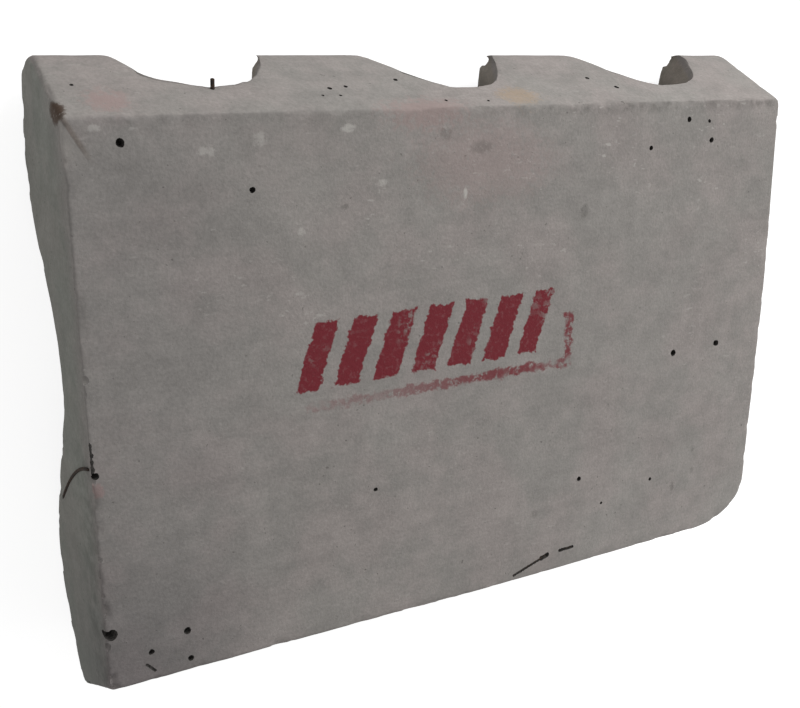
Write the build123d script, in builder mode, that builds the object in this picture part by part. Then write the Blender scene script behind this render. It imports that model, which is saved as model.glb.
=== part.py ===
from build123d import *
import math
import os

# Precast refractory block: a flat face, sloped long sides, drafted ends and an egg-crate underside.
# X runs along the length, Y across the width, Z up out of the flat face. Millimetres.
# The origin is on the floor that the bumps stand on, under the middle of the block.

# Flat face, and the block's depth from that face to the tops of the bumps
face_length = 586.0
face_width = 380.0
thickness = 110.0

# Each long side leans out going down, and its rim turns under in a large round
side_lean = 34.0
side_lean_depth = 70.0
rim_radius = 33.0

# Each end leans out by a small mould draft
end_draft = 7.0

# Rounded corners between the sides and the ends, and rounded edges of the flat face
corner_radius = 10.0
edge_radius = 5.0

# Egg-crate underside: rows of bumps, each row set half a pitch along from the next.
# The pits under the long sides are deeper than the pits under the ends.
mean_thickness = 76.0
pit_difference = 7.0
bump_pitch = 190.0
row_pitch = 152.0
middle_bump_x = -6.0
middle_row_y = 22.0

# Along a row the bumps have flat tops and steep flanks: 0 would be a plain cosine
flank_steepness = 2.3

# The solid stock reaches a little past the bumps, so that no bump is cut off flat
stock_allowance = 2.0

# The bumpy surface is worked out past the block's outline at this spacing
surface_margin = 20.0
surface_step = 8.0
surface_tolerance = 0.05
surface_degree = 8

bump_amplitude = thickness - mean_thickness


def underside(x, y):
    """Height of the underside: a product of two waves, with a share of each one alone."""
    wave = math.cos(2 * math.pi * (x - middle_bump_x) / bump_pitch)
    along = -math.tanh(flank_steepness * wave) / math.tanh(flank_steepness)
    across = -math.cos(math.pi * (y - middle_row_y) / row_pitch)
    swell = pit_difference * (along - across) + bump_amplitude * along * across
    return thickness - mean_thickness - swell


# Long side's section, from the flat face out to the foot of the slope
face_edge = face_width / 2
stock_depth = thickness + stock_allowance
foot = face_edge + stock_depth * side_lean / side_lean_depth
end_lean = stock_depth * end_draft / thickness

# Bumpy surface, drawn through points of the formula
half_x = face_length / 2 + end_lean + surface_margin
half_y = foot + surface_margin
columns = round(2 * half_x / surface_step)
rows = round(2 * half_y / surface_step)
grid_x = [-half_x + 2 * half_x * i / columns for i in range(columns + 1)]
grid_y = [-half_y + 2 * half_y * j / rows for j in range(rows + 1)]
bumpy_face = Face.make_surface_from_array_of_points(
    [[(x, y, underside(x, y)) for x in grid_x] for y in grid_y],
    tol=surface_tolerance,
    min_deg=surface_degree,
    max_deg=surface_degree,
)

with BuildPart() as refractory_block:
    # Section across the width, run along the length
    with BuildSketch(Plane.YZ) as section:
        with BuildLine():
            Polyline(
                (-face_edge, thickness),
                (face_edge, thickness),
                (foot, -stock_allowance),
                (-foot, -stock_allowance),
                close=True,
            )
        make_face()
        fillet(section.vertices().group_by(Axis.Y)[0], rim_radius)
    extrude(amount=face_length / 2 + end_lean, both=True)

    # Drafted ends
    for side in (-1, 1):
        end_plane = Plane(
            origin=(side * face_length / 2, 0, thickness),
            x_dir=(0, 1, 0),
            z_dir=(side * thickness, 0, end_draft),
        )
        split(bisect_by=end_plane, keep=Keep.BOTTOM)

    # Slanted corners under the flat face, then the face's own edges
    fillet(refractory_block.edges().group_by(Axis.Z)[-2], corner_radius)
    fillet(refractory_block.faces().sort_by(Axis.Z)[-1].edges(), edge_radius)

    # The bumps: everything below the bumpy surface comes away
    extrude(bumpy_face, amount=2 * thickness, dir=(0, 0, -1), mode=Mode.SUBTRACT)

refractory_block.part.label = "refractory_block"

os.makedirs("parts", exist_ok=True)
export_step(refractory_block.part, "parts/refractory_block.step")
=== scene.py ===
import bpy
import numpy as np
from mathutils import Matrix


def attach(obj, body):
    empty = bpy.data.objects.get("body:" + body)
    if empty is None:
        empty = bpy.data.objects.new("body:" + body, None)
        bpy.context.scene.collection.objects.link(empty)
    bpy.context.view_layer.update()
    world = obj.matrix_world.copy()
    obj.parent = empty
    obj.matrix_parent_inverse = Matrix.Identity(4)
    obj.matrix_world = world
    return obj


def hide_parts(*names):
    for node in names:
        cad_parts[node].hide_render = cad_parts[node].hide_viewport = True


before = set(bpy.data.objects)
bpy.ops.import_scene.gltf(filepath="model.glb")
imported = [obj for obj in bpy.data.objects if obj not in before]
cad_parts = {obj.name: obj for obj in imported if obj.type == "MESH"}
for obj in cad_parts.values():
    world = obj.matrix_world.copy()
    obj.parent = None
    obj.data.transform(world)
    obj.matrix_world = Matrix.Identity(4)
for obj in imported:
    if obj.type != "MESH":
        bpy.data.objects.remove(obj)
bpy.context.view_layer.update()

# The refractory block itself: one casting of grey castable with steel fibre in the mix, poured
# into a mould. Its flat face is up, its long sides slope, and it stands on an egg-crate underside.
# Sizes are in metres.
FACE_LENGTH = 0.586
FACE_WIDTH = 0.380
THICKNESS = 0.110
SIDE_SLOPE = 34 / 70
RIM_RADIUS = 0.033
RIM_FOOT = 0.002
END_DRAFT = 0.007
MEAN_THICKNESS = 0.076
PIT_DIFFERENCE = 0.007
BUMP_PITCH = 0.190
ROW_PITCH = 0.152
MIDDLE_BUMP_X = -0.006
MIDDLE_ROW_Y = 0.022
FLANK_STEEPNESS = 2.3
CELLS = np.array((206, 134, 36))

# The three notches under the top long side are deeper than the rest of the wave, and steeper on
# their right: the roof height of each, and how far its right flank is shifted along the block.
NOTCH_ROOFS = np.array((0.0775, 0.0850, 0.0865))
NOTCH_SHIFTS = np.array((-0.003, 0.000, 0.005))
NOTCH_START = 0.188
NOTCH_FADE = 0.016

# A roof is highest between two places. To each side it falls by a drop over a distance, by a power.
ROOF_LEFT = 0.003
ROOF_RIGHT = 0.005
LEFT_FALL = (0.026, 0.040, 1.8)
RIGHT_FALL = (0.008, 0.030, 2)
ROOF_BLEND = 0.003

# The right flank's foot, and how far it leans along the block from one place across it to another.
FLANK_FOOT = 0.0525
FLANK_FOOT_HEIGHT = 0.010
FLANK_SLOPE = 5.0
FLANK_LEAN = 0.55
LEAN_MIDDLE = 0.204
LEAN_RANGE = (-0.006, 0.016)


def notch_height(x, y):
    """Height of a notch's roof and right flank. The roof falls off to each side by a power of the
    distance from the notch; the flank is a steep plane whose foot leans away towards the rim.
    The lower of the two is taken with a soft minimum."""
    turn = (x - MIDDLE_BUMP_X) / BUMP_PITCH
    number = np.clip(np.round(turn), -1, 1).astype(int) + 1
    aside = (turn - np.round(turn)) * BUMP_PITCH
    left, right = np.maximum(ROOF_LEFT - aside, 0), np.maximum(aside - ROOF_RIGHT, 0)
    roof = NOTCH_ROOFS[number]
    for distance, (drop, over, power) in ((left, LEFT_FALL), (right, RIGHT_FALL)):
        roof = roof - drop * (distance / over) ** power
    foot = FLANK_FOOT + NOTCH_SHIFTS[number] + FLANK_LEAN * np.clip(y - LEAN_MIDDLE, *LEAN_RANGE)
    flank = FLANK_FOOT_HEIGHT + FLANK_SLOPE * (foot - aside)
    return -ROOF_BLEND * np.logaddexp(-roof / ROOF_BLEND, -flank / ROOF_BLEND)


def underside_height(x, y):
    """Height of the bumpy underside: a product of two waves, with a share of each one alone.
    Across the rows the wave is a cosine; along a row its flanks are steepened by a tanh. Under
    the top long side the notches cut it back further."""
    wave = np.cos(2 * np.pi * (x - MIDDLE_BUMP_X) / BUMP_PITCH)
    along = -np.tanh(FLANK_STEEPNESS * wave) / np.tanh(FLANK_STEEPNESS)
    across = -np.cos(np.pi * (y - MIDDLE_ROW_Y) / ROW_PITCH)
    swell = PIT_DIFFERENCE * (along - across) + (THICKNESS - MEAN_THICKNESS) * along * across
    height = THICKNESS - MEAN_THICKNESS - swell
    under_top_side = np.clip((y - NOTCH_START) / NOTCH_FADE, 0, 1)
    return height + under_top_side * np.maximum(notch_height(x, y) - height, 0)


def end_reach(depth):
    """Half the length at a depth below the flat face: half the face plus the ends' draft."""
    return FACE_LENGTH / 2 + END_DRAFT * depth / THICKNESS


def side_reach(depth):
    """Half the width at a depth: a straight slope, then the round of the rim that turns under."""
    height = THICKNESS - depth
    centre_z = RIM_RADIUS - RIM_FOOT
    lean = np.hypot(1, SIDE_SLOPE)
    centre_y = FACE_WIDTH / 2 + SIDE_SLOPE * (THICKNESS - centre_z) - RIM_RADIUS * lean
    slope = FACE_WIDTH / 2 + SIDE_SLOPE * depth
    round_rim = centre_y + np.sqrt(np.maximum(RIM_RADIUS**2 - (height - centre_z) ** 2, 0))
    return np.where(height > centre_z + RIM_RADIUS * SIDE_SLOPE / lean, slope, round_rim)


def wall_depth(x_sign, y_sign):
    """Depth at which a wall meets the underside, found by halving the range of depths."""
    low = np.zeros(np.broadcast(x_sign, y_sign).shape)
    high = low + THICKNESS + RIM_FOOT
    for _ in range(40):
        middle = (low + high) / 2
        bump = underside_height(x_sign * end_reach(middle), y_sign * side_reach(middle))
        above = THICKNESS - middle > bump
        low = np.where(above, middle, low)
        high = np.where(above, high, middle)
    return low


def crowded(cells):
    """Steps from 0 to 1 that crowd towards both ends: a straight run less a sine of one turn."""
    run = np.linspace(0, 1, cells + 1)
    return run - 0.6 * np.sin(2 * np.pi * run) / (2 * np.pi)


def lumps(points, size, seed):
    """Random field from -1 to 1 with lumps of about the given size: random values on a cubic
    lattice, blended between the eight lattice points around each point with a smooth step."""
    cell = np.floor(points / size).astype(int)
    part = points / size - cell
    part = part * part * (3 - 2 * part)
    values = np.random.default_rng(seed).uniform(-1, 1, (64, 64, 64))
    field = np.zeros(len(points))
    for corner in np.ndindex(2, 2, 2):
        near = (cell + corner) % 64
        share = np.prod(np.where(corner, part, 1 - part), axis=1)
        field += share * values[near[:, 0], near[:, 1], near[:, 2]]
    return field


def block_skin():
    """Points, four-sided faces and distances from the nearest edge, over the block's six sides.
    The face is a flat grid, each wall runs from it down to the underside, and the underside
    is spread between the four walls' lower edges (Coons patch) at the height of its formula."""
    i, j, k = (np.arange(n + 1) for n in CELLS)
    a, b = 2 * crowded(CELLS[0]) - 1, 2 * crowded(CELLS[1]) - 1
    s = crowded(CELLS[2])
    along = (1 - np.abs(a)) * FACE_LENGTH / 2
    across = (1 - np.abs(b)) * FACE_WIDTH / 2
    keys, spots, gaps, quads = [], [], [], []

    def add(grid_i, grid_j, grid_k, x, y, z, gap, outward):
        lattice = (grid_i * (CELLS[1] + 1) + grid_j) * (CELLS[2] + 1) + grid_k
        x, y, z, gap, lattice = np.broadcast_arrays(x, y, z, gap, lattice)
        start = sum(len(part) for part in keys)
        number = start + np.arange(lattice.size).reshape(lattice.shape)
        faces = (number[:-1, :-1], number[1:, :-1], number[1:, 1:], number[:-1, 1:])
        quads.append(np.stack(faces[::outward], axis=-1).reshape(-1, 4))
        keys.append(lattice.ravel())
        spots.append(np.stack((x, y, z), axis=-1).reshape(-1, 3))
        gaps.append(gap.ravel())
        return x[:, -1], y[:, -1]

    border = np.minimum(along[:, None], across)
    add(i[:, None], j, 0, a[:, None] * FACE_LENGTH / 2, b * FACE_WIDTH / 2, THICKNESS, border, 1)
    rims = {}
    for sign in (-1, 1):
        foot = wall_depth(a, sign)[:, None]
        d = s * foot
        gap = np.minimum(along[:, None], np.minimum(d, foot - d))
        x, y = a[:, None] * end_reach(d), sign * side_reach(d)
        rims["y", sign] = add(i[:, None], CELLS[1] * (sign > 0), k, x, y, THICKNESS - d, gap, sign)
        foot = wall_depth(sign, b)[:, None]
        d = s * foot
        gap = np.minimum(across[:, None], np.minimum(d, foot - d))
        x, y = sign * end_reach(d), b[:, None] * side_reach(d)
        rims["x", sign] = add(CELLS[0] * (sign > 0), j[:, None], k, x, y, THICKNESS - d, gap, -sign)
    u, v = (a[:, None] + 1) / 2, (b + 1) / 2
    x, y = (
        (1 - v) * rims["y", -1][n][:, None] + v * rims["y", 1][n][:, None]
        + (1 - u) * rims["x", -1][n] + u * rims["x", 1][n]
        - (1 - u) * (1 - v) * rims["y", -1][n][0] - u * (1 - v) * rims["y", -1][n][-1]
        - (1 - u) * v * rims["y", 1][n][0] - u * v * rims["y", 1][n][-1]
        for n in (0, 1)
    )
    add(i[:, None], j, CELLS[2], x, y, underside_height(x, y), border, -1)
    _, first, merged = np.unique(np.concatenate(keys), return_index=True, return_inverse=True)
    points = np.concatenate(spots)[first]
    return points, merged[np.concatenate(quads)], np.concatenate(gaps)[first]


def neighbour_mean(points, quads):
    """The mean of each point's neighbours along the mesh's edges, each edge counted from both faces."""
    start, end = quads.ravel(), np.roll(quads, -1, axis=1).ravel()
    ends = np.concatenate((start, end)), np.concatenate((end, start))
    count = np.bincount(ends[0], minlength=len(points))
    sums = [np.bincount(ends[0], points[ends[1], axis], len(points)) for axis in range(3)]
    return np.stack(sums, axis=-1) / count[:, None]


def outward_normals(points, quads):
    """Unit normals at the points: the cross products of the faces' diagonals, added up and made unit."""
    p = points[quads]
    face = np.cross(p[:, 2] - p[:, 0], p[:, 3] - p[:, 1])
    sums = [np.bincount(quads.ravel(), np.repeat(face[:, axis], 4), len(points)) for axis in range(3)]
    total = np.stack(sums, axis=-1)
    return total / np.linalg.norm(total, axis=1, keepdims=True)


skin, skin_quads, edge_gap = block_skin()

# The corners in plan are rounded, and one was knocked off: each square corner is pulled onto a
# quarter of an ellipse. Signs of x and y give the corner, then come its two radii.
CORNER_ROUNDS = (
    (1, -1, 0.059, 0.040), (1, 1, 0.007, 0.007), (-1, -1, 0.005, 0.005), (-1, 1, 0.005, 0.005),
)
for x_sign, y_sign, *radii in CORNER_ROUNDS:
    depth = THICKNESS - skin[:, 2]
    past = np.stack((x_sign * skin[:, 0] - end_reach(depth), y_sign * skin[:, 1] - side_reach(depth)), axis=-1)
    past = past / radii + 1
    pull = past.max(axis=1) / np.maximum(np.linalg.norm(past, axis=1), 1e-9) - 1
    shift = np.where((past > 0).all(axis=1), pull, 0)[:, None] * past * radii
    skin[:, :2] += shift * (x_sign, y_sign)

# The mould was not quite true: the right end and the lower long side bow out in the middle, and
# the left end's foot draws in towards the top long side.
END_BOW = 0.0028
SIDE_BOW = 0.0016
END_DRAW = 0.0042
rise = np.clip(skin[:, 2] / THICKNESS, 0, 1)
near_end, near_side = np.clip(skin[:, 0] / 0.29, 0, 1) ** 6, np.clip(-skin[:, 1] / 0.19, 0, 1) ** 6
skin[:, 0] += END_BOW * rise * near_end * np.cos(np.clip((skin[:, 1] - 0.02) / 0.17, -1, 1) * np.pi / 2) ** 2
skin[:, 1] -= SIDE_BOW * rise * near_side * np.cos(np.clip(skin[:, 0] / 0.29, -1, 1) * np.pi / 2) ** 2
drawn = np.clip((skin[:, 1] - 0.09) / 0.10, 0, 1) ** 2 * np.clip(1 - skin[:, 2] / THICKNESS, 0, 1)
skin[:, 0] += END_DRAW * drawn * np.clip(-skin[:, 0] / 0.29, 0, 1) ** 6

# Another corner has lost a thin flake: past a slanting crease the flat face drops to the end's edge.
FLAKE_CREASE = (-0.2905, 0.1860, 0.0)
FLAKE_NORMAL = (-0.87, -0.49, 0.0)
FLAKE_FALL = 0.34
past_crease = np.clip((skin - FLAKE_CREASE) @ FLAKE_NORMAL, 0, 0.02)
fade = np.clip((skin[:, 1] - 0.158) / 0.014, 0, 1) * np.clip((skin[:, 2] - 0.090) / 0.02, 0, 1)
skin[:, 2] -= FLAKE_FALL * past_crease * fade * (skin[:, 0] < -0.25)

# Handling has worn the edges: points near an edge are drawn towards their neighbours, by an
# amount that changes along the edge, and the whole skin is left uneven by less than a millimetre.
wear_reach = 0.0038 * (1 + 0.45 * lumps(skin, 0.030, 1) + 0.35 * lumps(skin, 0.009, 2))
wear = np.clip(1.25 - edge_gap / wear_reach, 0, 1)[:, None]
for _ in range(9):
    skin += 0.6 * wear * (neighbour_mean(skin, skin_quads) - skin)
skin_normals = outward_normals(skin, skin_quads)
uneven = 0.00030 * (1 + lumps(skin, 0.110, 3)) + 0.00022 * (1 + lumps(skin, 0.034, 4))
uneven += 0.00012 * (1 + lumps(skin, 0.011, 5))
left_edge = np.clip(1 - np.abs(skin[:, 0] + FACE_LENGTH / 2) / 0.02, 0, 1)
left_edge *= np.clip(0.4 - skin[:, 1] / 0.1, 0.3, 1.6)
crumbled = np.clip(lumps(skin, 0.010, 6) + 0.5 * lumps(skin, 0.004, 8) - 0.15, 0, 1)
crumbled *= np.clip(1 - edge_gap / 0.006, 0, 1) * (0.5 + left_edge)
skin -= (uneven + 0.0032 * crumbled)[:, None] * skin_normals

# Air bubbles and lost grains, as hollows cut below the surface. On the flat face each is a place
# (x, y) and an opening radius, on the top long side (x, z) and a radius, in metres. Smaller ones
# are strewn over the rest.
FACE_HOLES = np.array((
    (-0.259, 0.174, 0.0028), (-0.177, 0.141, 0.0021), (0.219, 0.158, 0.0024), (0.215, 0.173, 0.0015),
    (0.193, 0.175, 0.0024), (0.155, 0.154, 0.0019), (0.243, -0.016, 0.0030), (0.194, -0.018, 0.0030),
    (-0.090, -0.084, 0.0017), (0.100, -0.114, 0.0022), (0.178, -0.130, 0.0016), (0.125, -0.141, 0.0013),
    (-0.263, -0.168, 0.0021), (-0.237, -0.159, 0.0026), (-0.236, -0.181, 0.0022), (-0.2885, -0.148, 0.0040),
    (-0.2920, -0.1470, 0.0030), (-0.2900, -0.0335, 0.0024),
))
SIDE_HOLES = np.array((
    (-0.109, 0.083, 0.0018), (-0.096, 0.081, 0.0016), (-0.118, 0.092, 0.0011), (-0.105, 0.092, 0.0012),
    (-0.053, 0.073, 0.0017), (-0.028, 0.101, 0.0013), (0.117, 0.074, 0.0019), (0.135, 0.088, 0.0021),
    (0.006, 0.103, 0.0012), (-0.277, 0.074, 0.0014), (0.030, 0.074, 0.0016),
))
STREWN_HOLES = 70
# Chips out of the flat face's left edge, each a place along it, a radius and whether it takes the dark pore
# material (dirt and painted shade), and the grooves that fibres left in the face, each from one place to another
# with a radius.
EDGE_CHIPS = np.array((
    (0.030, 0.0042, 0), (0.021, 0.0030, 0), (-0.0110, 0.0020, 1), (-0.0128, 0.0024, 1), (-0.0150, 0.0027, 1),
    (-0.0172, 0.0024, 1), (-0.0192, 0.0029, 1), (-0.0216, 0.0026, 1), (-0.0240, 0.0031, 1), (-0.0264, 0.0028, 1),
    (-0.0288, 0.0033, 1), (-0.0310, 0.0028, 1), (-0.037, 0.0034, 0), (-0.070, 0.0026, 0), (-0.092, 0.0030, 0),
    (-0.118, 0.0026, 0), (0.120, 0.0022, 0), (-0.156, 0.0036, 0), (-0.178, 0.0030, 0),
))
GROOVES = np.array((
    (0.037, -0.1868, 0.069, -0.1762, 0.0013), (0.064, -0.1778, 0.070, -0.1760, 0.0022),
    (0.083, -0.1752, 0.096, -0.1748, 0.0015), (-0.2667, -0.1768, -0.2614, -0.1828, 0.0011),
))
GROOVE_BALLS = 22


def hollow_cutters(centres, inward, radii, lengths, seed):
    """Closed lumpy balls: a longitude and latitude grid on each centre, its radius varied by
    lumps, drawn out along the direction into the block by a length in radii."""
    turn = np.linspace(0, 2 * np.pi, 12, endpoint=False)
    rise = np.linspace(0, np.pi, 8)[1:-1]
    ring = np.stack((np.sin(rise)[:, None] * np.cos(turn), np.sin(rise)[:, None] * np.sin(turn),
                     np.cos(rise)[:, None] + 0 * turn), axis=-1).reshape(-1, 3)
    ball = np.concatenate((ring, ((0, 0, 1), (0, 0, -1))))
    swollen = 1 + 0.22 * lumps((centres[:, None] / radii[:, None, None] + ball).reshape(-1, 3), 0.9, seed)
    shape = ball * swollen.reshape(len(centres), -1, 1)
    reach = np.einsum("hbc,hc->hb", shape, inward)[:, :, None]
    drawn = shape + np.maximum(reach, 0) * (lengths[:, None, None] - 1) * inward[:, None]
    points = centres[:, None] + radii[:, None, None] * drawn
    grid = np.arange(len(ring)).reshape(len(rise), len(turn))
    east = np.roll(grid, -1, axis=1)
    quads = np.stack((grid[:-1], grid[1:], east[1:], east[:-1]), axis=-1).reshape(-1, 4)
    caps = np.concatenate((np.stack((grid[0], east[0], np.full(len(turn), len(ring))), axis=-1),
                           np.stack((east[-1], grid[-1], np.full(len(turn), len(ring) + 1)), axis=-1)))
    step = (np.arange(len(centres)) * len(ball))[:, None, None]
    faces = (quads + step).reshape(-1, 4).tolist() + (caps + step).reshape(-1, 3).tolist()
    owner = np.concatenate((np.repeat(np.arange(len(centres)), len(quads)),
                            np.repeat(np.arange(len(centres)), len(caps))))
    return points.reshape(-1, 3), faces, owner


strew = np.random.default_rng(11)
face_up, side_out, end_out = np.array((0, 0, 1)), np.array((0, 1, SIDE_SLOPE)), np.array((-1, 0, 1))
side_out, end_out = side_out / np.linalg.norm(side_out), end_out / np.linalg.norm(end_out)
hidden = (skin[:, 2] < 0.1) & (skin[:, 0] > -0.288) & (skin_normals[:, 1] < 0.6)
unmarked = np.flatnonzero(hidden & (edge_gap > 0.008))
strewn = strew.choice(unmarked, STREWN_HOLES, replace=False)
step = np.linspace(0, 1, GROOVE_BALLS)[:, None]
groove_spots = (GROOVES[:, None, :2] * (1 - step) + GROOVES[:, None, 2:4] * step).reshape(-1, 2)
groove_radii = np.repeat(GROOVES[:, 4], GROOVE_BALLS)
# Each kind's places, direction out of the block, radii, depth of the centre and length in radii, and whether it
# takes the dark pore material (dirt and painted shade).
hollow_kinds = [
    (np.column_stack((FACE_HOLES[:, :2], THICKNESS + 0 * FACE_HOLES[:, 2])),
     face_up, FACE_HOLES[:, 2], 0.25, 2.6, 1),
    (np.column_stack((SIDE_HOLES[:, 0], side_reach(THICKNESS - SIDE_HOLES[:, 1]), SIDE_HOLES[:, 1])),
     side_out, SIDE_HOLES[:, 2], 0.25, 2.6, 1),
    (skin[strewn], skin_normals[strewn], strew.uniform(0.0008, 0.0024, STREWN_HOLES), 0.25, 2.2, 1),
    (np.column_stack((-FACE_LENGTH / 2 + 0 * EDGE_CHIPS[:, 0], EDGE_CHIPS[:, 0], THICKNESS + 0 * EDGE_CHIPS[:, 0])),
     end_out, EDGE_CHIPS[:, 1], 0.0, 1.0, EDGE_CHIPS[:, 2]),
    (np.column_stack((groove_spots, THICKNESS + 0 * groove_radii)), face_up, groove_radii, 0.1, 1.2, 1),
]
hollow_centres = np.concatenate([
    spots - sink * radii[:, None] * out for spots, out, radii, sink, _, _ in hollow_kinds
])
hollow_inward = np.concatenate([-np.broadcast_to(out, spots.shape) for spots, out, *_ in hollow_kinds])
hollow_radii = np.concatenate([radii for _, _, radii, *_ in hollow_kinds])
hollow_lengths = np.concatenate([np.full(len(radii), length) for _, _, radii, _, length, _ in hollow_kinds])
hollow_dirt_and_shade = np.concatenate([np.broadcast_to(dirt_and_shade, radii.shape) for _, _, radii, _, _, dirt_and_shade in hollow_kinds])
hollow_points, hollow_faces, hollow_owner = hollow_cutters(
    hollow_centres, hollow_inward, hollow_radii, hollow_lengths, 7
)

castable = bpy.data.materials.new("grey_castable")
pore_dirt_and_shade = bpy.data.materials.new("pore_dirt_and_shade")
block_mesh = bpy.data.meshes.new("block_skin")
block_mesh.from_pydata(skin.tolist(), [], skin_quads.tolist())
hollow_mesh = bpy.data.meshes.new("hollows")
hollow_mesh.from_pydata(hollow_points.tolist(), [], hollow_faces)
# Pores and the dark chips take the second material, dark with dirt and painted shade.
hollow_mesh.polygons.foreach_set("material_index", hollow_dirt_and_shade[hollow_owner].astype(np.int32))
for mesh in (block_mesh, hollow_mesh):
    mesh.materials.append(castable)
    mesh.materials.append(pore_dirt_and_shade)
block = bpy.data.objects.new("block_skin", block_mesh)
hollows = bpy.data.objects.new("hollows", hollow_mesh)
bpy.context.scene.collection.objects.link(block)
bpy.context.scene.collection.objects.link(hollows)
cut = block.modifiers.new("hollows", "BOOLEAN")
cut.operation = "DIFFERENCE"
cut.solver = "EXACT"
cut.use_self = True
cut.object = hollows
ready = block.evaluated_get(bpy.context.evaluated_depsgraph_get())
cut_mesh = bpy.data.meshes.new_from_object(ready)
block.modifiers.clear()
block.data = cut_mesh
bpy.data.objects.remove(hollows)
cut_mesh.polygons.foreach_set("use_smooth", np.ones(len(cut_mesh.polygons), bool))
cut_mesh.set_sharp_from_angle(angle=np.radians(42))


def add_node(tree, kind, settings=None, **sockets):
    """A shader node: settings are its options, and each socket gets a value or another node's output."""
    node = tree.nodes.new(kind)
    for name, value in (settings or {}).items():
        setattr(node, name, value)
    for name, value in sockets.items():
        socket = node.inputs[int(name[1:])] if name[0] == "_" else node.inputs[name.replace("_", " ")]
        if isinstance(value, bpy.types.NodeSocket):
            tree.links.new(value, socket)
        else:
            socket.default_value = value
    return node


def share_of(value, low, high, out_low=0.0, out_high=1.0):
    """Smooth step of a value from low to high, given out as a share between two numbers."""
    step = add_node(tree, "ShaderNodeMapRange", {"interpolation_type": "SMOOTHSTEP"},
                    _0=value, _1=low, _2=high, _3=out_low, _4=out_high)
    return step.outputs[0]


def maths(operation, one, two=0.0):
    """One arithmetic step on two values."""
    return add_node(tree, "ShaderNodeMath", {"operation": operation}, _0=one, _1=two).outputs[0]


def tint(share, under, over, blend="MIX"):
    """One colour laid over another by a share from 0 to 1."""
    mix = add_node(tree, "ShaderNodeMix", {"data_type": "RGBA", "blend_type": blend}, _0=share, _6=under, _7=over)
    return mix.outputs[2]


def patches(scale, detail=3.0, roughness=0.55, stretch=(1, 1, 1), turn=(0, 0, 0)):
    """Noise on the piece's own coordinates, stretched and turned where it follows the trowel."""
    mapped = add_node(tree, "ShaderNodeMapping", Vector=place, Scale=stretch, Rotation=turn).outputs[0]
    noise = add_node(tree, "ShaderNodeTexNoise", Vector=mapped, Scale=scale, Detail=detail, Roughness=roughness)
    return noise.outputs["Fac"]


def spot(at, near, far, stretch=(1, 1, 1)):
    """Round share that is 1 within the near distance of a place and 0 beyond the far one."""
    moved = add_node(tree, "ShaderNodeVectorMath", {"operation": "SUBTRACT"}, _0=place, _1=at).outputs[0]
    pressed = add_node(tree, "ShaderNodeVectorMath", {"operation": "MULTIPLY"}, _0=moved, _1=stretch).outputs[0]
    reach = add_node(tree, "ShaderNodeVectorMath", {"operation": "LENGTH"}, _0=pressed).outputs["Value"]
    return share_of(reach, near, far, 1.0, 0.0)


# The castable's finish: grey cement paste in pinkish and greenish blotches, with fine grain, trowel
# streaks, pale flecks, dark grains and smudges, rust and pink stains, and brown dust in the pits.
CASTABLE_WARM = (0.284, 0.257, 0.243, 1)
CASTABLE_COOL = (0.268, 0.253, 0.237, 1)
LIGHT_PASTE = (0.47, 0.45, 0.42, 1)
DARK_GRAIN = (0.085, 0.080, 0.072, 1)
PINK_STAIN = (0.315, 0.232, 0.218, 1)
ORANGE_STAIN = (0.36, 0.27, 0.185, 1)
RUST_STAIN = (0.062, 0.040, 0.028, 1)
GREEN_TINT_AND_END_SHADE = (0.93, 1.0, 0.965, 1)
PIT_FILM = (1.00, 0.97, 0.89, 1)
PAINTED_CORNER_SHADE = (0.68, 0.68, 0.70, 1)
PAINTED_LEFT_SHADE = (0.89, 0.89, 0.90, 1)
PAINTED_CREASE_SHADE = (0.76, 0.72, 0.68, 1)
castable.use_nodes = True
tree = castable.node_tree
tree.nodes.clear()
place = add_node(tree, "ShaderNodeTexCoord").outputs["Object"]
along_x, across_y, up_z = add_node(tree, "ShaderNodeSeparateXYZ", Vector=place).outputs
on_face = share_of(up_z, 0.107, 0.1085)
blotch = patches(15.0, 5.0, 0.62)
colour = tint(share_of(blotch, 0.38, 0.62), CASTABLE_COOL, CASTABLE_WARM)
mottle = share_of(patches(60.0, 6.0, 0.62), 0.25, 0.75, 0.91, 1.08)
cloud = share_of(patches(24.0, 4.0, 0.55), 0.28, 0.72, 0.965, 1.035)
grain = share_of(patches(420.0, 3.0, 0.6), 0.25, 0.75, 0.91, 1.08)
streak = share_of(patches(150.0, 3.0, 0.5, (0.10, 1.0, 1.0), (0, 0, 0.10)), 0.3, 0.7, 0.975, 1.025)
shade = maths("MULTIPLY", maths("MULTIPLY", mottle, cloud), maths("MULTIPLY", grain, streak))
shade_colour = add_node(tree, "ShaderNodeCombineColor", Red=shade, Green=shade, Blue=shade).outputs[0]
colour = tint(1.0, colour, shade_colour, "MULTIPLY")
flecks = share_of(patches(260.0, 3.0, 0.55, (0.6, 1.0, 1.0)), 0.63, 0.73)
for turn in (0.7, -0.9, 1.5):
    strokes = patches(210.0, 2.0, 0.5, (0.35, 1.0, 1.0), (0, 0, turn))
    flecks = maths("MAXIMUM", flecks, share_of(strokes, 0.67, 0.75))
flecks = maths("MULTIPLY", flecks, share_of(patches(16.0, 3.0), 0.44, 0.62))
flecks = maths("MULTIPLY", flecks, share_of(across_y, -0.05, 0.16, 0.20, 0.55))
colour = tint(maths("MULTIPLY", flecks, share_of(on_face, 0.0, 1.0, 0.35, 1.0)), colour, LIGHT_PASTE)
specks = maths("MULTIPLY", share_of(patches(330.0, 1.0, 0.4), 0.72, 0.78), share_of(patches(40.0, 1.0), 0.46, 0.58))
colour = tint(maths("MULTIPLY", specks, 0.6), colour, DARK_GRAIN)
broken = maths("MULTIPLY", maths("SUBTRACT", patches(230.0, 5.0, 0.70), 0.5), 2.4)
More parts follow.
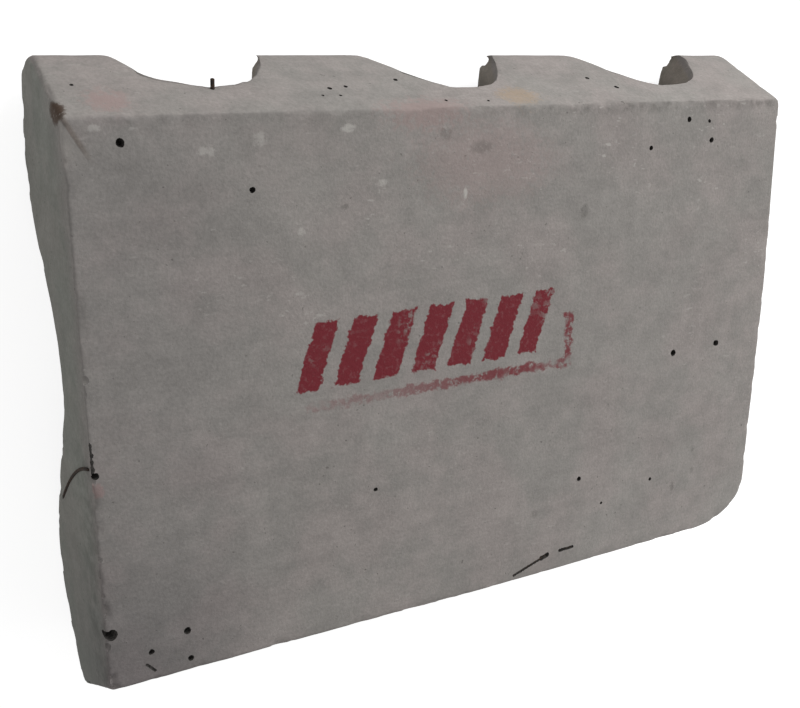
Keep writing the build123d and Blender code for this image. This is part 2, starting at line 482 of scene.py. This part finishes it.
for stain, at, near, far, stretch, strength in (
    (PINK_STAIN, (-0.261, 0.199, 0.092), 0.004, 0.030, (1, 1, 1), 0.70),
    (PINK_STAIN, (-0.050, 0.188, 0.108), 0.004, 0.045, (0.6, 1.5, 1.5), 0.60),
    (PINK_STAIN, (0.000, 0.150, 0.110), 0.010, 0.060, (0.5, 1, 1), 0.30),
    (PINK_STAIN, (-0.290, -0.044, 0.110), 0.003, 0.008, (1, 0.8, 1), 0.80),
    (ORANGE_STAIN, (0.036, 0.196, 0.097), 0.004, 0.026, (0.7, 1, 1), 0.60),
    (RUST_STAIN, (-0.2950, 0.1920, 0.0960), 0.006, 0.015, (1.1, 1.2, 0.7), 1.0),
    (LIGHT_PASTE, (-0.1084, 0.1778, 0.110), 0.002, 0.007, (0.8, 1.4, 1), 0.65),
    (LIGHT_PASTE, (-0.0163, 0.1296, 0.110), 0.001, 0.006, (1.8, 0.7, 1), 0.85),
    (LIGHT_PASTE, (-0.0832, 0.1404, 0.110), 0.001, 0.007, (0.8, 1.4, 1), 0.55),
    (LIGHT_PASTE, (-0.1704, 0.1729, 0.110), 0.001, 0.008, (0.8, 0.9, 1), 0.45),
    (LIGHT_PASTE, (-0.2062, 0.1668, 0.110), 0.001, 0.009, (0.6, 1.4, 1), 0.50),
    (LIGHT_PASTE, (-0.1438, 0.1115, 0.110), 0.001, 0.006, (1, 1, 1), 0.50),
    (LIGHT_PASTE, (-0.2735, 0.1830, 0.110), 0.001, 0.006, (0.7, 1.2, 1), 0.60),
    (DARK_GRAIN, (-0.0030, 0.1612, 0.110), 0.002, 0.012, (0.6, 1.3, 1), 0.34),
    (DARK_GRAIN, (-0.0328, 0.1720, 0.110), 0.002, 0.009, (1, 1, 1), 0.30),
    (DARK_GRAIN, (0.0917, 0.1087, 0.110), 0.002, 0.009, (1.2, 0.8, 1), 0.36),
    (DARK_GRAIN, (-0.1113, 0.1259, 0.110), 0.001, 0.005, (0.8, 1.2, 1), 0.45),
    (DARK_GRAIN, (0.2044, -0.1423, 0.110), 0.001, 0.007, (1.6, 0.7, 1), 0.42),
    (DARK_GRAIN, (0.2247, -0.1112, 0.110), 0.001, 0.005, (1, 1, 1), 0.30),
    (DARK_GRAIN, (0.2267, -0.1306, 0.110), 0.001, 0.005, (1, 0.8, 1), 0.30),
    (DARK_GRAIN, (0.0560, -0.1360, 0.110), 0.001, 0.008, (0.9, 1.1, 1), 0.30),
):
    near_it = spot(at, near, far, stretch)
    mark = maths("MULTIPLY", near_it, share_of(maths("ADD", near_it, broken), 0.45, 0.95))
    colour = tint(maths("MULTIPLY", mark, strength), colour, stain)
chipped = share_of(patches(90.0, 5.0, 0.65), 0.42, 0.62)
top_chips = maths("MULTIPLY", share_of(across_y, 0.1785, 0.1865), share_of(across_y, 0.1885, 0.1897, 1.0, 0.0))
top_chips = maths("MULTIPLY", top_chips, maths("MULTIPLY", share_of(along_x, -0.02, 0.08, 0.3, 1.0), on_face))
left_chips = maths("MULTIPLY", share_of(along_x, -0.2915, -0.2928), share_of(along_x, -0.2955, -0.2940))
left_chips = maths("MULTIPLY", left_chips, share_of(across_y, -0.060, 0.000, 1.0, 0.25))
chips = maths("MULTIPLY", maths("MAXIMUM", top_chips, left_chips), chipped)
colour = tint(maths("MULTIPLY", chips, 0.36), colour, DARK_GRAIN)

# Painted shade: a greenish tint that slightly darkens the left end, a darker patch at the face's lower left corner,
# and a faint darkening along the face's left side.
colour = tint(share_of(along_x, -0.2938, -0.2922, 1.0, 0.0), colour, GREEN_TINT_AND_END_SHADE, "MULTIPLY")
# Painted shade: the face darkens towards its lower left corner.
colour = tint(spot((-0.296, -0.200, 0.110), 0.004, 0.150), colour, PAINTED_CORNER_SHADE, "MULTIPLY")
# Painted shade: the face darkens faintly towards its left side.
colour = tint(maths("MULTIPLY", share_of(along_x, -0.13, -0.27), on_face), colour, PAINTED_LEFT_SHADE, "MULTIPLY")

# The flake's scar is paler than the face, with a dark line of painted shade along its crease.
moved = add_node(tree, "ShaderNodeVectorMath", {"operation": "SUBTRACT"}, _0=place, _1=FLAKE_CREASE).outputs[0]
from_crease = add_node(tree, "ShaderNodeVectorMath", {"operation": "DOT_PRODUCT"}, _0=moved, _1=FLAKE_NORMAL)
from_crease = from_crease.outputs["Value"]
in_scar = maths("MULTIPLY", share_of(across_y, 0.160, 0.174), share_of(up_z, 0.103, 0.106))
scar = maths("MULTIPLY", share_of(from_crease, 0.0002, 0.0012), in_scar)
colour = tint(maths("MULTIPLY", scar, 0.34), colour, LIGHT_PASTE)
crease = maths("MULTIPLY", share_of(from_crease, -0.0038, -0.0012), share_of(from_crease, 0.0, 0.0008, 1.0, 0.0))
colour = tint(maths("MULTIPLY", crease, in_scar), colour, PAINTED_CREASE_SHADE, "MULTIPLY")

# Dust stays in the pits: everything that lies in from the planes of the long sides and the ends.
side_gap = maths("ADD", maths("MULTIPLY", up_z, -SIDE_SLOPE), FACE_WIDTH / 2 + SIDE_SLOPE * THICKNESS)
side_gap = maths("SUBTRACT", side_gap, maths("ABSOLUTE", across_y))
end_gap = maths("ADD", maths("MULTIPLY", up_z, -END_DRAFT / THICKNESS), FACE_LENGTH / 2 + END_DRAFT)
end_gap = maths("SUBTRACT", end_gap, maths("ABSOLUTE", along_x))
in_pit = maths("MULTIPLY", share_of(maths("MINIMUM", side_gap, end_gap), 0.0045, 0.0090),
               share_of(up_z, 0.098, 0.104, 1.0, 0.0))
colour = tint(in_pit, colour, PIT_FILM, "MULTIPLY")

# The marking: slanting bars of red ink over a thin line that turns up at its right end, pressed on
# by hand and worn since.
INK = (0.152, 0.012, 0.020, 1)
INK_THIN = (0.195, 0.060, 0.066, 1)
MARK_CENTRE = (-0.031, 0.026, 0.0)
MARK_TURN = -0.014
BARS_X = -0.0115
BAR_COUNT = 7
BAR_PITCH = 0.031
BAR_WIDTH = 0.0195
BAR_SLANT = 0.35
BAR_HALF_HEIGHT = 0.024
LINE_Y = -0.037
LINE_HALF_WIDTH = 0.0036
LINE_ENDS = (-0.112, 0.116)
UPTURN_TOP = 0.002
mark_place = add_node(tree, "ShaderNodeMapping", {"vector_type": "TEXTURE"}, Vector=place,
                      Location=MARK_CENTRE, Rotation=(0, 0, -MARK_TURN)).outputs[0]
mark_x, mark_y, _ = add_node(tree, "ShaderNodeSeparateXYZ", Vector=mark_place).outputs
ragged = maths("MULTIPLY", maths("SUBTRACT", patches(160.0, 4.0, 0.65), 0.5), 0.010)
slanted = maths("SUBTRACT", maths("SUBTRACT", mark_x, BARS_X), maths("MULTIPLY", mark_y, BAR_SLANT))
bar = maths("PINGPONG", maths("ADD", slanted, (40 + BAR_COUNT % 2 / 2) * BAR_PITCH), BAR_PITCH / 2)
bar = maths("SUBTRACT", BAR_PITCH / 2 - BAR_WIDTH / 2, bar)
bar = maths("MAXIMUM", bar, maths("SUBTRACT", maths("ABSOLUTE", mark_y), BAR_HALF_HEIGHT))
bar = maths("MAXIMUM", bar, maths("SUBTRACT", maths("ABSOLUTE", slanted), (BAR_COUNT - 0.5) * BAR_PITCH / 2))
line_middle, line_half = sum(LINE_ENDS) / 2, (LINE_ENDS[1] - LINE_ENDS[0]) / 2
line = maths("SUBTRACT", maths("ABSOLUTE", maths("SUBTRACT", mark_y, LINE_Y)), LINE_HALF_WIDTH)
line_run = maths("ABSOLUTE", maths("SUBTRACT", mark_x, line_middle))
line = maths("MAXIMUM", line, maths("SUBTRACT", line_run, line_half))
upturn = maths("ABSOLUTE", maths("SUBTRACT", mark_x, LINE_ENDS[1] - LINE_HALF_WIDTH))
upturn = maths("SUBTRACT", upturn, LINE_HALF_WIDTH)
upturn_middle, upturn_half = (UPTURN_TOP + LINE_Y) / 2, (UPTURN_TOP - LINE_Y) / 2
upturn_run = maths("ABSOLUTE", maths("SUBTRACT", mark_y, upturn_middle))
upturn = maths("MAXIMUM", upturn, maths("SUBTRACT", upturn_run, upturn_half))
line = maths("MINIMUM", line, upturn)
bar_ink = share_of(maths("ADD", bar, ragged), -0.0006, 0.0006, 1.0, 0.0)
line_ink = share_of(maths("ADD", line, maths("MULTIPLY", ragged, 1.3)), -0.0012, 0.0012, 0.9, 0.0)
line_ink = maths("MULTIPLY", line_ink, share_of(mark_x, -0.10, 0.06, 0.35, 1.0))
starved = share_of(patches(240.0, 4.0, 0.7), 0.36, 0.50)
fresher = share_of(patches(22.0, 3.0, 0.6), 0.26, 0.46)
wet = maths("MAXIMUM", maths("MULTIPLY", bar_ink, maths("MAXIMUM", starved, fresher)),
            maths("MULTIPLY", line_ink, maths("MULTIPLY", starved, share_of(patches(30.0, 3.0, 0.6), 0.36, 0.52))))
wet = maths("MULTIPLY", wet, on_face)
ink_colour = tint(share_of(patches(300.0, 3.0, 0.6), 0.50, 0.80), INK, INK_THIN)
colour = tint(maths("MULTIPLY", wet, 0.97), colour, ink_colour)

surface = add_node(tree, "ShaderNodeBsdfPrincipled", Base_Color=colour, Roughness=0.93, Specular_IOR_Level=0.25)
fine = maths("ADD", maths("MULTIPLY", patches(520.0, 4.0, 0.65), 0.5), patches(130.0, 4.0, 0.6))
bump = add_node(tree, "ShaderNodeBump", Strength=0.35, Distance=0.0012, Height=fine)
tree.links.new(bump.outputs[0], surface.inputs["Normal"])
add_node(tree, "ShaderNodeOutputMaterial", Surface=surface.outputs[0])

# Inside the pores: dark dirt, and painted shade that darkens the paste so that the hollows look deep.
PORE_DARK = (0.022, 0.020, 0.018, 1)
PORE_LIGHT = (0.060, 0.055, 0.050, 1)
pore_dirt_and_shade.use_nodes = True
tree = pore_dirt_and_shade.node_tree
tree.nodes.clear()
place = add_node(tree, "ShaderNodeTexCoord").outputs["Object"]
colour = tint(share_of(patches(500.0, 3.0), 0.35, 0.65), PORE_DARK, PORE_LIGHT)
surface = add_node(tree, "ShaderNodeBsdfPrincipled", Base_Color=colour, Roughness=0.97)
add_node(tree, "ShaderNodeOutputMaterial", Surface=surface.outputs[0])
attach(block, "root")
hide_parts("refractory_block")

# Steel fibres that show in the skin: wires 10 to 95 mm long and 1 to 3 mm thick, held by the
# castable, some lying along the surface and one standing out of a notch. They have rusted dark.
FIBRES = np.array((
    ((0.036, -0.1871, 0.1086), (0.052, -0.1812, 0.1092), (0.069, -0.1762, 0.1090)),
    ((0.083, -0.1752, 0.1088), (0.090, -0.1747, 0.1091), (0.096, -0.1748, 0.1088)),
    ((-0.2930, -0.0300, 0.1055), (-0.2952, -0.0455, 0.0680), (-0.2974, -0.0800, 0.0260)),
    ((-0.1904, 0.2000, 0.0805), (-0.1903, 0.2050, 0.0803), (-0.1900, 0.2100, 0.0798)),
))
FIBRE_RADII = np.array((0.0005, 0.0005, 0.0012, 0.0014))
STREWN_RADIUS = 0.00048
STREWN_FIBRES = 14
STREWN_HALF_LENGTH = 0.010
STREWN_SINK = 0.0006
WIRE_DARK = (0.028, 0.026, 0.024, 1)
WIRE_RUST = (0.055, 0.036, 0.026, 1)


def fibre_tubes(bends, radius):
    """Round wires: a circle carried along a curve bent through three places (quadratic Bezier),
    the circle drawn in to a blunt tip at both ends."""
    t = np.linspace(0, 1, 25)[:, None]
    start, middle, end = (bends[:, None, n] for n in range(3))
    path = (1 - t) ** 2 * start + 2 * t * (1 - t) * (2 * middle - (start + end) / 2) + t**2 * end
    run = np.gradient(path, axis=1)
    run /= np.linalg.norm(run, axis=2, keepdims=True)
    side = np.cross(run, (0.31, 0.17, 0.93))
    side /= np.linalg.norm(side, axis=2, keepdims=True)
    rise = np.cross(run, side)
    turn = np.linspace(0, 2 * np.pi, 8, endpoint=False)[:, None]
    width = radius[:, None, None, None] * np.sqrt(1 - 0.98 * (2 * t - 1) ** 24)[None, :, :, None]
    circle = np.cos(turn) * side[:, :, None] + np.sin(turn) * rise[:, :, None]
    points = path[:, :, None] + width * circle
    number = np.arange(points[..., 0].size).reshape(points.shape[:3])
    east = np.roll(number, -1, axis=2)
    quads = np.stack((number[:, :-1], east[:, :-1], east[:, 1:], number[:, 1:]), axis=-1).reshape(-1, 4)
    return points.reshape(-1, 3), quads.tolist() + number[:, 0, ::-1].tolist() + number[:, -1].tolist()


laid = strew.choice(unmarked, STREWN_FIBRES, replace=False)
heading = np.cross(skin_normals[laid], strew.normal(size=(STREWN_FIBRES, 3)))
heading *= STREWN_HALF_LENGTH / np.linalg.norm(heading, axis=1, keepdims=True)
sunk = STREWN_SINK * skin_normals[laid]
strewn_fibres = np.stack(
    (skin[laid] - heading - sunk, skin[laid] + 0.3 * sunk, skin[laid] + heading - sunk), axis=1
)
fibre_radii = np.append(FIBRE_RADII, np.full(STREWN_FIBRES, STREWN_RADIUS))
fibre_points, fibre_faces = fibre_tubes(np.concatenate((FIBRES, strewn_fibres)), fibre_radii)
fibre_mesh = bpy.data.meshes.new("steel_fibres")
fibre_mesh.from_pydata(fibre_points.tolist(), [], fibre_faces)
fibre_mesh.polygons.foreach_set("use_smooth", np.ones(len(fibre_mesh.polygons), bool))
fibres = bpy.data.objects.new("steel_fibres", fibre_mesh)
bpy.context.scene.collection.objects.link(fibres)
rusty_wire = bpy.data.materials.new("rusty_wire")
rusty_wire.use_nodes = True
tree = rusty_wire.node_tree
tree.nodes.clear()
place = add_node(tree, "ShaderNodeTexCoord").outputs["Object"]
colour = tint(share_of(patches(400.0, 3.0), 0.38, 0.62), WIRE_DARK, WIRE_RUST)
surface = add_node(tree, "ShaderNodeBsdfPrincipled", Base_Color=colour, Roughness=0.85, Specular_IOR_Level=0.1)
add_node(tree, "ShaderNodeOutputMaterial", Surface=surface.outputs[0])
fibre_mesh.materials.append(rusty_wire)
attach(fibres, "root")

# The studio: a pale floor at the level that the block rests on, a large soft lamp above the top
# long side towards the right, weak fills on the right and left, and level light from all round.
floor_mesh = bpy.data.meshes.new("floor")
floor_mesh.from_pydata([(-6, -6, 0), (6, -6, 0), (6, 6, 0), (-6, 6, 0)], [], [(0, 1, 2, 3)])
floor = bpy.data.objects.new("floor", floor_mesh)
bpy.context.scene.collection.objects.link(floor)
paper = bpy.data.materials.new("white_paper")
paper.use_nodes = True
tree = paper.node_tree
tree.nodes.clear()
ray = add_node(tree, "ShaderNodeLightPath").outputs
seen = maths("MAXIMUM", maths("MAXIMUM", ray["Is Camera Ray"], ray["Is Glossy Ray"]), ray["Is Transmission Ray"])
matt = add_node(tree, "ShaderNodeBsdfDiffuse", Color=(0.35, 0.35, 0.35, 1)).outputs[0]
white = add_node(tree, "ShaderNodeBsdfDiffuse", Color=(0.45, 0.45, 0.45, 1)).outputs[0]
glow = add_node(tree, "ShaderNodeEmission", Color=(1, 1, 1, 1), Strength=0.82).outputs[0]
lit = add_node(tree, "ShaderNodeAddShader", _0=white, _1=glow).outputs[0]
paper_mix = add_node(tree, "ShaderNodeMixShader", _0=seen, _1=matt, _2=lit).outputs[0]
add_node(tree, "ShaderNodeOutputMaterial", Surface=paper_mix)
floor_mesh.materials.append(paper)

world = bpy.data.worlds.new("level_light")
world.use_nodes = True
tree = world.node_tree
tree.nodes.clear()
ray = add_node(tree, "ShaderNodeLightPath").outputs
seen = maths("MAXIMUM", maths("MAXIMUM", ray["Is Camera Ray"], ray["Is Glossy Ray"]), ray["Is Transmission Ray"])
level = share_of(seen, 0.0, 1.0, 0.385, 1.0)
sky = add_node(tree, "ShaderNodeBackground", Color=(1, 1, 1, 1), Strength=level).outputs[0]
add_node(tree, "ShaderNodeOutputWorld", Surface=sky)
bpy.context.scene.world = world


def soft_lamp(name, power, size, at, towards):
    """A square lamp at one place, turned to shine towards another."""
    lamp = bpy.data.lights.new(name, "AREA")
    lamp.energy = power
    lamp.size = size
    holder = bpy.data.objects.new(name, lamp)
    holder.location = at
    aim = np.array(at) - np.array(towards)
    holder.rotation_euler = (np.arctan2(np.hypot(aim[0], aim[1]), aim[2]), 0, np.arctan2(aim[0], -aim[1]))
    bpy.context.scene.collection.objects.link(holder)


soft_lamp("key_lamp", 48.0, 1.6, (1.15, 1.72, 1.05), (0.0, 0.0, 0.08))
soft_lamp("right_fill", 3.6, 0.5, (0.75, -0.75, 0.45), (0.25, -0.15, 0.11))
soft_lamp("left_fill", 2.7, 0.6, (-1.50, 0.40, 0.20), (-0.3, 0.0, 0.06))

camera = bpy.data.cameras.new("camera")
camera.lens = 46.75
camera.sensor_width = 36.0
camera.sensor_fit = "HORIZONTAL"
camera.clip_start = 0.01
viewer = bpy.data.objects.new("camera", camera)
viewer.location = (-0.41447, 0.22390, 0.74016)
viewer.rotation_euler = np.radians((-16.04, -28.68, 0.0))
bpy.context.scene.collection.objects.link(viewer)
bpy.context.scene.camera = viewer
bpy.context.scene.view_settings.view_transform = "Standard"
